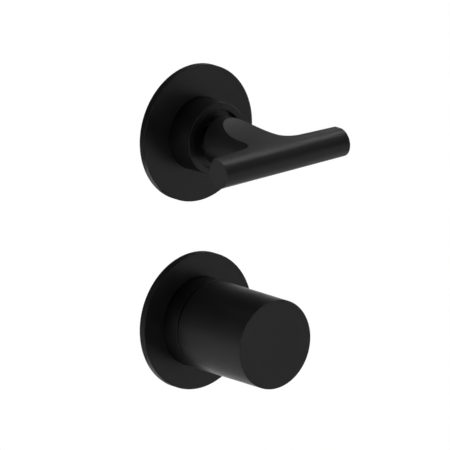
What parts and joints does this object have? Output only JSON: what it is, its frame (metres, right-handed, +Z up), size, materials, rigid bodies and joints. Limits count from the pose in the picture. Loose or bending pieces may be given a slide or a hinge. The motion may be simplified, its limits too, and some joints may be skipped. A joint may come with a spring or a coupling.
{
  "type": "concealed shower mixer",
  "caption": "Wall-mounted concealed shower mixer: a matt black tilting T-shaped lever above a plain drum diverter knob, on round plates, with a brass valve body in the wall.",
  "frame": {"origin": "on the finished wall's face, midway between the axes of the two controls", "axes": "+X to the right seen from the room, +Y into the wall, +Z up; both controls turn about lines along Y"},
  "size_m": [0.092, 0.1212, 0.172],
  "materials": {
    "matt_black": "matt black coating",
    "cast_brass": "as cast",
    "machined_brass": "turned",
    "steel": "turned",
    "seal_rubber": "smooth",
    "foam_gasket": "closed-cell foam",
    "cartridge_plastic": "moulded",
    "turret_plastic": "moulded",
    "plug_plastic": "moulded",
    "disc_ceramic": "lapped"
  },
  "bodies": {
    "body": {"valve_body": "cast_brass", "mixer_plate": "matt_black", "mixer_sleeve": "matt_black", "diverter_plate": "matt_black", "diverter_collar": "matt_black", "mixer_plate_gasket": "foam_gasket", "diverter_plate_gasket": "foam_gasket", "mixer_sleeve_ring": "seal_rubber", "diverter_collar_ring": "seal_rubber", "mixer_foot_seal": "seal_rubber", "diverter_foot_seal": "seal_rubber", "mixer_foot": "cartridge_plastic", "diverter_foot": "cartridge_plastic", "mixer_can": "cartridge_plastic", "diverter_can": "cartridge_plastic", "mixer_fixed_disc": "disc_ceramic", "diverter_fixed_disc": "disc_ceramic", "mixer_nut": "machined_brass", "diverter_nut": "machined_brass", "diverter_adapter": "machined_brass"},
    "turret": {"mixer_turret": "turret_plastic", "mixer_pivot_pin": "steel"},
    "lever": {"lever_spindle": "steel", "lever_handle": "matt_black", "lever_grub_screw": "steel", "lever_screw_plug": "plug_plastic"},
    "disc_slide": {"mixer_carrier": "turret_plastic", "mixer_moving_disc": "disc_ceramic"},
    "knob": {"diverter_knob": "matt_black", "knob_insert": "turret_plastic", "knob_grub_screw": "steel", "knob_screw_plug": "plug_plastic", "diverter_spindle": "machined_brass", "diverter_moving_disc": "disc_ceramic"}
  },
  "joints": [
    {"name": "temperature_turn", "type": "hinge", "parent": "body", "child": "turret", "pos_m": [0, 0, 0.05], "axis": [0, -1, 0], "range_deg": [-52.6, 47.4]},
    {"name": "flow_tilt", "type": "hinge", "parent": "turret", "child": "lever", "pos_m": [0, -0.006, 0.05], "axis": [-0.999, 0, -0.0454], "range_deg": [0, 13]},
    {"name": "disc_shift", "type": "slide", "parent": "turret", "child": "disc_slide", "axis": [0.0454, 0, -0.999], "range_m": [0, 0.00172]},
    {"name": "diverter_turn", "type": "hinge", "parent": "body", "child": "knob", "pos_m": [0, 0, -0.05], "axis": [0, -1, 0], "range_deg": [0, 90]}
  ],
  "couplings": [
    {"joint": "disc_shift", "follows": "flow_tilt", "m_per_rad": 0.0076}
  ]
}
